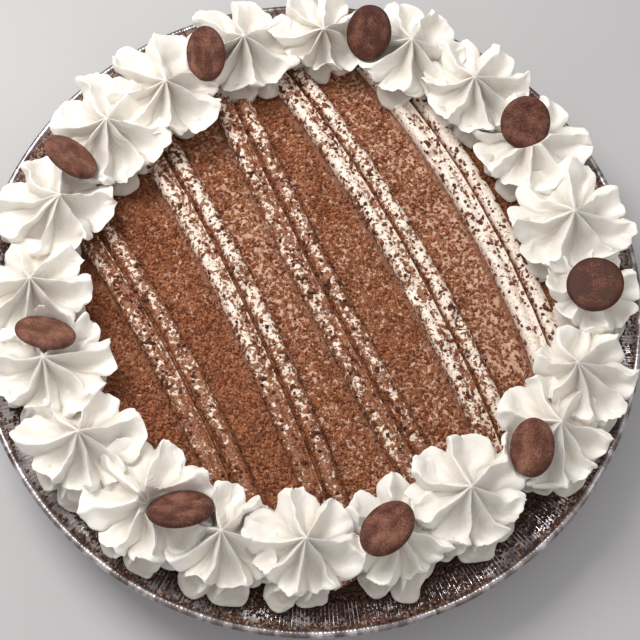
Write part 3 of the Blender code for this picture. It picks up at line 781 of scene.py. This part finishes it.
def rosette_surface(number):
    """Points and painted-shade marks of one rosette. In plan each level is a ring of petals: across a
    petal the reach rises from a fold to a crest and falls again, sharply near the peak and roundly at
    the lip. Levels follow the side's curve round a middle that moves in to the peak. They turn a little
    as they rise, crests waver, lips arch and cup, and soft lumps make the whole uneven. Below the
    lip two ribs run down each petal, and the skirt is full where it meets its neighbours. The marks
    are painted shade: 1 in folds, in the petals' hollows and under the lip, most on the near side."""
    rng = np.random.default_rng(60 + number)
    azimuth, radius, further, reach, height, crest = ROSETTES[number]
    widths = 1 + 0.22 * rng.uniform(-1, 1, PETALS)
    edges = np.concatenate([[0.0], np.cumsum(widths)]) / widths.sum()
    crests = rng.uniform(0.60, 0.86, PETALS)
    crests[0] = 0.62
    lengths = 1 + 0.10 * rng.uniform(-1, 1, PETALS)
    tucks = rng.uniform(0.00, 0.20, PETALS) * (0.35 if azimuth < 180 else 1.0)
    lifts = 0.09 * rng.uniform(-1, 1, PETALS)
    corners = rng.uniform(0.02, 0.18, PETALS)
    depths = rng.uniform(0.75, 1.25, PETALS)
    tip = rng.uniform(-1, 1, 2) * 0.0012
    starts = rng.uniform(0.0, 1.0, PETALS)
    cups = rng.uniform(0.08, 0.24, PETALS)
    toes = rng.uniform(0.86, 1.05, PETALS)
    level = np.linspace(0, 1, ROSETTE_ROWS)[:, None]
    around = np.linspace(0, 1, ROSETTE_COLUMNS, endpoint=False)[None]
    petal = np.clip(np.searchsorted(edges, around, side="right") - 1, 0, PETALS - 1)
    share = (around - edges[petal]) / (edges[petal + 1] - edges[petal])
    top = crests[petal]
    to_crest = np.where(share < top, share / top, (1 - share) / (1 - top))
    side, rise, depth = np.moveaxis(smooth_through(level, ROSETTE_SIDE), -1, 0)
    soft = rising(level, 0.76, -0.26)
    soft = soft * soft * (3 - 2 * soft)
    fan = (1 - np.abs(2 * share - 1) ** 4.6) * (1 - corners[petal] * (1 - to_crest))
    low = rising(level, 0.34, -0.08)
    profile = (1 - soft) * to_crest**1.4 + soft * ((1 - 0.2 * low) * fan + 0.2 * low * to_crest**0.9)
    middles = np.concatenate([(edges[:-1] + edges[1:]) / 2 + turn for turn in (-1, 0, 1)])
    length, tuck, lift, toe = (
        np.interp(around, middles, np.tile(each, 3)) for each in (lengths, tucks, lifts, toes)
    )
    fold = np.concatenate([edges + turn for turn in (-1, 0, 1)])
    cut = np.interp(around, fold, np.tile(np.append(depths, depths[0]), 3))
    start = math.radians(crest) - 2 * np.pi * 0.62 * edges[1]
    turned = 2 * np.pi * around + start + math.radians(ROSETTE_SWIRL) * np.clip(1 - rise, 0, 1) ** 1.5
    near = np.clip(-np.sin(turned), 0, 1)
    outward = np.clip(np.cos(turned - math.radians(azimuth)), 0, 1)
    under_lip = rising(level, 0, 0.1) * (level < 0.48)
    beside = np.sin(turned - math.radians(azimuth)) ** 2 * under_lip
    ribs = hump(np.abs(2 * share - 1), 0.66, 0.20) * under_lip
    skirt = np.maximum((0.80 + 0.17 * near + 0.06 * near * outward) * toe, 0.98 * beside)
    lip = length * (1 - tuck * near)
    side = side + np.maximum(0.97 - side, 0) * np.maximum(0.75 * ribs, 0.95 * beside)
    across = side * np.where(level < 0.3, skirt, lip + (skirt - lip) * rising(level, 0.42, -0.12)) * reach
    across = across * (1 - depth * cut * (1 - 0.6 * beside) * (1 - profile))
    high = np.sin(np.pi * level)
    key = swept_round(across, rise * height, turned) + number
    turned = turned + high * (0.13 * lumps(key, 0.0085, 31) + 0.10 * lumps(key, 0.0046, 35))
    across = across * (1 + 0.05 * lumps(key, 0.0090, 32) + 0.018 * lumps(key, 0.0035, 33))
    stripes = np.sin(2 * np.pi * (5 * share + 1.6 * lumps(key, 0.006, 34)))
    across = across + 0.00024 * stripes * rising(across, 0, 0.008) * rising(level, 0, 0.3)
    across = across * (1 + 0.018 * low * lumps(key, 0.0050, 38))
    across = across * (1 + 0.030 * lumps(key, 0.0024, 37) * hump(level, 0.51, 0.06))
    ruffle = 2 * np.pi * (1.7 * share + starts[petal])
    at_lip = np.sin(np.pi * share) * hump(level, 0.50, 0.09)
    across = across * (1 + 0.026 * np.sin(ruffle) * at_lip)
    across = across * (1 - cups[petal] * near * at_lip)
    move = further * (1 - np.clip(rise, 0, 1) ** 2)
    centre = place(azimuth, radius)
    ahead = place(azimuth, 1.0)
    x = centre[0] + ahead[0] * move + across * np.cos(turned) + tip[0] * level**6
    y = centre[1] + ahead[1] * move + across * np.sin(turned) + tip[1] * level**6
    far = np.hypot(x, y)
    limit = ROSETTE_FOOT_LIMIT + (ROSETTE_LIMIT - ROSETTE_FOOT_LIMIT) * rising(rise, 0, 0.12)
    free = limit - ROSETTE_HOLD
    held = np.where(far > free, free + ROSETTE_HOLD * np.tanh((far - free) / ROSETTE_HOLD), far)
    x, y = x * held / far, y * held / far
    base = filling_height(held) + 0.0007
    arch = (0.06 * (profile - 0.6) + 0.16 * (to_crest - 0.5)) * hump(level, 0.54, 0.13)
    dish = np.where(share < top, np.sin(np.pi * share / top), 0.4 * np.sin(np.pi * (1 - share) / (1 - top)))
    arch = arch - 0.185 * dish * hump(level, 0.66, 0.12)
    arch = arch + 0.035 * np.cos(ruffle) * at_lip
    rise = rise + (lift * high**2 + arch) * rising(level, 0, 0.3) + 0.014 * high * lumps(key, 0.0045, 36)
    points = np.stack([x, y, base + np.clip(rise, 0, 1) * height * 0.985], axis=-1)
    # Painted shade: each petal's hollow and the cream under the lip, more on the near side, are marked to be
    # darkened
    hollow_shade = 0.6 * dish * hump(level, 0.68, 0.15)
    below = (0.25 + 0.75 * rising(level, 0.04, 0.14)) * rising(level, 0.46, -0.05)
    below = below * (1 - 0.6 * ribs) * np.clip(0.4 + near, 0, 1)
    return points, np.maximum(np.maximum((1 - profile) * np.clip(level * 1.5, 0, 1), hollow_shade), below)


def make_rosette(number, material):
    """The surface, pressed down under the discs and closed at its foot and peak."""
    points, painted_shade = rosette_surface(number)
    for disc in range(len(DISCS)):
        points = pressed(points, disc)
    # The fold mark carries the painted shade
    piece = closed_piece(f"piped_rosette_{number + 1:02d}", points[:-1], material, {"fold": painted_shade[:-1]})
    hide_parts(f"cream_rosette_{number + 1:02d}")


soft_light = {"Subsurface Weight": 0.06, "Subsurface Scale": 0.004, "Subsurface Radius": (1.0, 0.75, 0.5)}
cream, cream_tree = new_finish("whipped cream", {"Roughness": 0.48, **soft_light})
tint = shades(cream_tree, noise(cream_tree, 120.0), *CREAM_SHADES)
# Painted shade: the fold mark darkens folds, hollows and the cream under the lip
painted_shade_share = spread(cream_tree, mark(cream_tree, "fold"), 0.15, 1.0, 0.0, 0.85)
feed(cream_tree, "Base Color", blend(cream_tree, painted_shade_share, tint, PAINTED_SHADE_COLOUR))
roughen(cream_tree, noise(cream_tree, 800.0, 3.0), 0.0003, 0.35)
for number in range(len(ROSETTES)):
    make_rosette(number, cream)


# ---------------------------------------------------------------------------- chocolate shavings
# Chocolate grated over the whole pie: curled slivers, and the fine bits that fall with them. They
# lie thickest at the lower left and gather in the clefts of the lines.
SLIVER_LENGTH = 0.0021
SLIVER_WIDTH = 0.0011
BIT_SIZE = 0.0012
FILLING_SLIVERS = 2300
FILLING_BITS = 12000
GRATED_RADIUS = 0.088
LINE_BIT_SIZE = 1.3
GRATED_SHADES = (
    (0.0, 0.050, 0.018, 0.010),
    (0.40, 0.160, 0.050, 0.024),
    (0.75, 0.300, 0.097, 0.042),
    (1.0, 0.470, 0.205, 0.110),
)


def nearly_upright(count, lean, rng):
    """Unit normals: straight up, plus a random vector whose spread is the lean."""
    normals = np.array([0.0, 0.0, 1.0]) + lean * rng.normal(size=(count, 3))
    return normals / np.linalg.norm(normals, axis=1)[:, None]


def strewn_mesh(name, shape, faces, spots, normals, sizes, material, tones, rng):
    """Copies of one small shape, each turned at random about its spot's normal, scaled and bent out
    of true by a fifth of its size, and joined into one mesh."""
    count, corners = len(spots), len(shape)
    level = np.cross(normals, swept_round(1.0, 0.0, rng.uniform(0, 2 * np.pi, count)))
    level /= np.linalg.norm(level, axis=1)[:, None]
    ahead = np.cross(level, normals)
    axes = np.stack([ahead, level, normals], axis=1)
    local = shape[None] * (1 + 0.22 * rng.uniform(-1, 1, (count, corners, 3))) * sizes[:, None, None]
    points = spots[:, None] + np.einsum("nci,nij->ncj", local, axes)
    joined = [(faces[None] + (np.arange(count) * corners)[:, None, None]).reshape(-1, faces.shape[1])]
    marks = {"tone": np.repeat(tones, corners)}
    return new_piece(name, points.reshape(-1, 3), joined, material, marks, smooth=False)


# A sliver: three triangles along a bend, joined. For each, its place along, as a share of the
# length, and its place across, half width and height, as shares of the width. A bit: a squat
# double pyramid
sliver_sections = [(-0.5, 0.10, 0.35, 0.10), (0.0, -0.12, 0.5, 0.42), (0.5, 0.08, 0.30, 0.16)]
sliver_shape = np.array(
    [
        (along * SLIVER_LENGTH, (bend + side * wide) * SLIVER_WIDTH * 1.2, up * high * SLIVER_WIDTH - 0.00005)
        for along, bend, wide, high in sliver_sections
        for side, up in ((-1, 0.0), (1, 0.0), (0, 1.6))
    ]
)
sliver_faces = [(0, 2, 1), (6, 7, 8)]
for start in (0, 3):
    for corner, beside in ((0, 1), (1, 2), (2, 0)):
        here, there = start + corner, start + beside
        sliver_faces += [(here, there, there + 3), (here, there + 3, here + 3)]
sliver_faces = np.array(sliver_faces)
bit_shape = BIT_SIZE * np.array(
    [(0.6, 0, 0.1), (0, 0.5, 0.1), (-0.6, 0, 0.1), (0, -0.5, 0.1), (0.1, 0.05, 0.55), (0, 0, -0.25)]
)
bit_faces = np.array([(0, 1, 4), (1, 2, 4), (2, 3, 4), (3, 0, 4), (1, 0, 5), (2, 1, 5), (3, 2, 5), (0, 3, 5)])


def filling_spots(count, rng):
    """Random spots on the filling, evenly spread, kept with a chance of the cover to the power of
    1.5, and less in the bare strips."""
    spots = np.empty((0, 3))
    while len(spots) < count:
        reach = GRATED_RADIUS * np.sqrt(rng.uniform(size=4 * count))
        tried = swept_round(reach, filling_height(reach), rng.uniform(0, 2 * np.pi, 4 * count))
        keep = rng.uniform(size=len(tried)) < shaving_cover(tried) ** 1.5 * (1 - 0.8 * beside_lines(tried))
        spots = np.concatenate([spots, tried[keep]])
    return spots[:count]


def line_spots(share, rng):
    """Random points of the lines' upper sides, the normals there and how deep in the cleft they lie.
    A point's chance grows with its cell's area, the cover and soft clumps."""
    spots, normals, clefts = [], [], []
    for points, cover, cleft in line_grids:
        ahead = np.gradient(points, axis=0)
        beside = np.gradient(points, axis=1)
        facing = np.cross(ahead, beside)
        facing *= np.where(facing[..., 2:] < 0, -1, 1)
        size = np.linalg.norm(facing, axis=-1)
        facing /= np.maximum(size, 1e-12)[..., None]
        clumps = np.clip(0.6 + 1.3 * lumps(points, 0.0026, 19), 0, 2)
        chance = share * size * 1e6 * (0.35 + 0.5 * cover) * clumps * (facing[..., 2] > 0.15)
        chosen = rng.uniform(size=chance.shape) < chance
        spots.append(points[chosen])
        normals.append(facing[chosen])
        clefts.append(cleft[chosen])
    return np.concatenate(spots), np.concatenate(normals), np.concatenate(clefts)


shaving, shaving_tree = new_finish("grated chocolate", {"Roughness": 0.55, "Specular IOR Level": 0.25})
feed(shaving_tree, "Base Color", shades(shaving_tree, mark(shaving_tree, "tone"), *GRATED_SHADES))
for name, shape, faces, amount, share in (
    ("grated_slivers", sliver_shape, sliver_faces, FILLING_SLIVERS, 0.05),
    ("grated_bits", bit_shape, bit_faces, FILLING_BITS, 0.29),
):
    rng = np.random.default_rng(len(name))
    on_filling = filling_spots(amount, rng)
    on_lines, facing, cleft = line_spots(share, rng)
    spots = np.concatenate([on_filling, on_lines])
    normals = np.concatenate([nearly_upright(len(on_filling), 0.25, rng), facing])
    dark = np.clip(rng.uniform(0.0, 0.66, len(on_lines)) + 0.35 * cleft, 0, 1)
    tones = np.concatenate([rng.uniform(0.30, 1.0, len(on_filling)), dark])
    sizes = rng.uniform(0.50, 1.20, len(spots))
    sizes[len(on_filling) :] *= LINE_BIT_SIZE
    strewn_mesh(name, shape, faces, spots, normals, sizes, shaving, tones, rng)


# --------------------------------------------------------------------------- crumbs on the tin
# Crumbs of the crust and stray shavings, dropped on the foil flange. They lie thick against the
# crust and in the groove inside the bead.
FLANGE_CRUMBS = 22000
FLANGE_INSIDE = 0.1132
FLANGE_OUTSIDE = 0.1262
CRUMB_SIZE = 1.05
LOOSE_SHADES = (
    (0.0, 0.016, 0.008, 0.006),
    (0.5, 0.060, 0.024, 0.015),
    (0.8, 0.190, 0.070, 0.038),
    (1.0, 0.420, 0.300, 0.230),
)


def flange_height(radius):
    """Height of the foil's upper side, straight between the profile's points, or of the crust."""
    inside = np.array(TIN_INSIDE)[:6][::-1]
    return np.where(radius < 0.1150, CRUST_TOP, np.interp(radius, inside[:, 0], inside[:, 1]))


def far_left(spots):
    """1 in the heap at the far left, fading over some 30 degrees on both sides, and 0 below 26 mm."""
    azimuth = np.degrees(np.arctan2(spots[:, 1], spots[:, 0]))
    return hump(azimuth, 138, 30) * rising(spots[:, 2], 0.026, 0.001)


def flange_spots(rng):
    """Spots by radius, kept where patchy cover beats a draw: thick at both edges of the flange,
    heaped at the far left, thicker on the near side and thinner at the near left."""
    radius = rng.uniform(FLANGE_INSIDE, FLANGE_OUTSIDE, FLANGE_CRUMBS * 4)
    turn = rng.uniform(0, 2 * np.pi, len(radius))
    spots = swept_round(radius, flange_height(radius), turn)
    band = rising(0.1216 + 0.0018 * lumps(spots, 0.011, 42) - radius, 0, 0.0016)
    nearest = hump(np.degrees(turn), 285, 35) - 0.7 * hump(np.degrees(turn), 225, 22)
    cover = 0.95 * band + 0.60 * hump(radius, 0.1252, 0.0010) + 0.20 + 0.34 * nearest
    cover = cover * (1 + 0.9 * lumps(spots, 0.006, 41)) + 0.7 * far_left(spots)
    return spots[rng.uniform(size=len(radius)) < cover][:FLANGE_CRUMBS]


loose, loose_tree = new_finish("loose crumbs", {"Roughness": 0.75})
feed(loose_tree, "Base Color", shades(loose_tree, mark(loose_tree, "tone"), *LOOSE_SHADES))
rng = np.random.default_rng(77)
spots = flange_spots(rng)
reach = np.hypot(spots[:, 0], spots[:, 1])
tones = np.clip(rng.beta(1.4, 2.4, len(spots)) + 0.30 * (reach > 0.1225) + 0.35 * far_left(spots), 0, 1)
normals = nearly_upright(len(spots), 0.4, rng)
sizes = CRUMB_SIZE * rng.uniform(0.4, 1.2, len(spots))
crumbs = strewn_mesh("loose_crumbs", bit_shape, bit_faces, spots, normals, sizes, loose, tones, rng)


# -------------------------------------------------------------------------- floor, light, camera
# A plain pale floor, a soft light above the pie's far left, and the camera above the near side.
CAMERA_PLACE = (0.0041, -0.167306, 0.500652)
CAMERA_RIGHT = (0.99444868, 0.09976772, 0.03343991)
CAMERA_UP = (-0.10522275, 0.94289386, 0.31603694)
CAMERA_BACK = (0.0, -0.31780115, 0.94815738)
CAMERA_LENS = 73.125
KEY_PLACE = (-0.28, 0.22, 0.58)
KEY_SIZE = 0.32
KEY_WATTS = 3.4
KEY_COLOUR = (1.0, 0.975, 0.94)
SKY = (1.0, 0.985, 0.965)
SKY_OVERHEAD = 0.77
SKY_LOW = 0.28
FLOOR_REACH = 3.0
FLOOR_SHADES = ((0.3, 0.475, 0.470, 0.485), (0.7, 0.51, 0.505, 0.52))

floor_mesh = bpy.data.meshes.new("floor")
floor_corners = [(x * FLOOR_REACH, y * FLOOR_REACH, 0) for x, y in ((-1, -1), (1, -1), (1, 1), (-1, 1))]
floor_mesh.from_pydata(floor_corners, [], [(0, 1, 2, 3)])
floor = bpy.data.objects.new("floor", floor_mesh)
bpy.context.scene.collection.objects.link(floor)
matt, matt_tree = new_finish("pale floor", {"Roughness": 0.6})
feed(matt_tree, "Base Color", shades(matt_tree, noise(matt_tree, 9.0), *FLOOR_SHADES))
floor_mesh.materials.append(matt)

key = bpy.data.objects.new("key light", bpy.data.lights.new("key light", "AREA"))
key.data.energy = KEY_WATTS
key.data.size = KEY_SIZE
key.data.color = KEY_COLOUR
key.location = KEY_PLACE
key.rotation_euler = key.location.to_track_quat("Z", "Y").to_euler()
bpy.context.scene.collection.objects.link(key)

world = bpy.data.worlds.new("soft sky")
world.use_nodes = True
sky = world.node_tree
direction = add_node(sky, "ShaderNodeTexCoord").outputs["Generated"]
upwards = add_node(sky, "ShaderNodeSeparateXYZ", {0: direction}).outputs["Z"]
background = sky.nodes["Background"].inputs
background["Color"].default_value = (*SKY, 1.0)
sky.links.new(spread(sky, upwards, 0.1, 0.9, SKY_LOW, SKY_OVERHEAD), background["Strength"])
bpy.context.scene.world = world
bpy.context.scene.view_settings.view_transform = "Standard"

camera = bpy.data.objects.new("camera", bpy.data.cameras.new("camera"))
camera.data.lens = CAMERA_LENS
camera.data.sensor_width = 36.0
camera_rows = zip(CAMERA_RIGHT, CAMERA_UP, CAMERA_BACK, CAMERA_PLACE)
camera.matrix_world = Matrix([*camera_rows, (0, 0, 0, 1)])
bpy.context.scene.collection.objects.link(camera)
bpy.context.scene.camera = camera
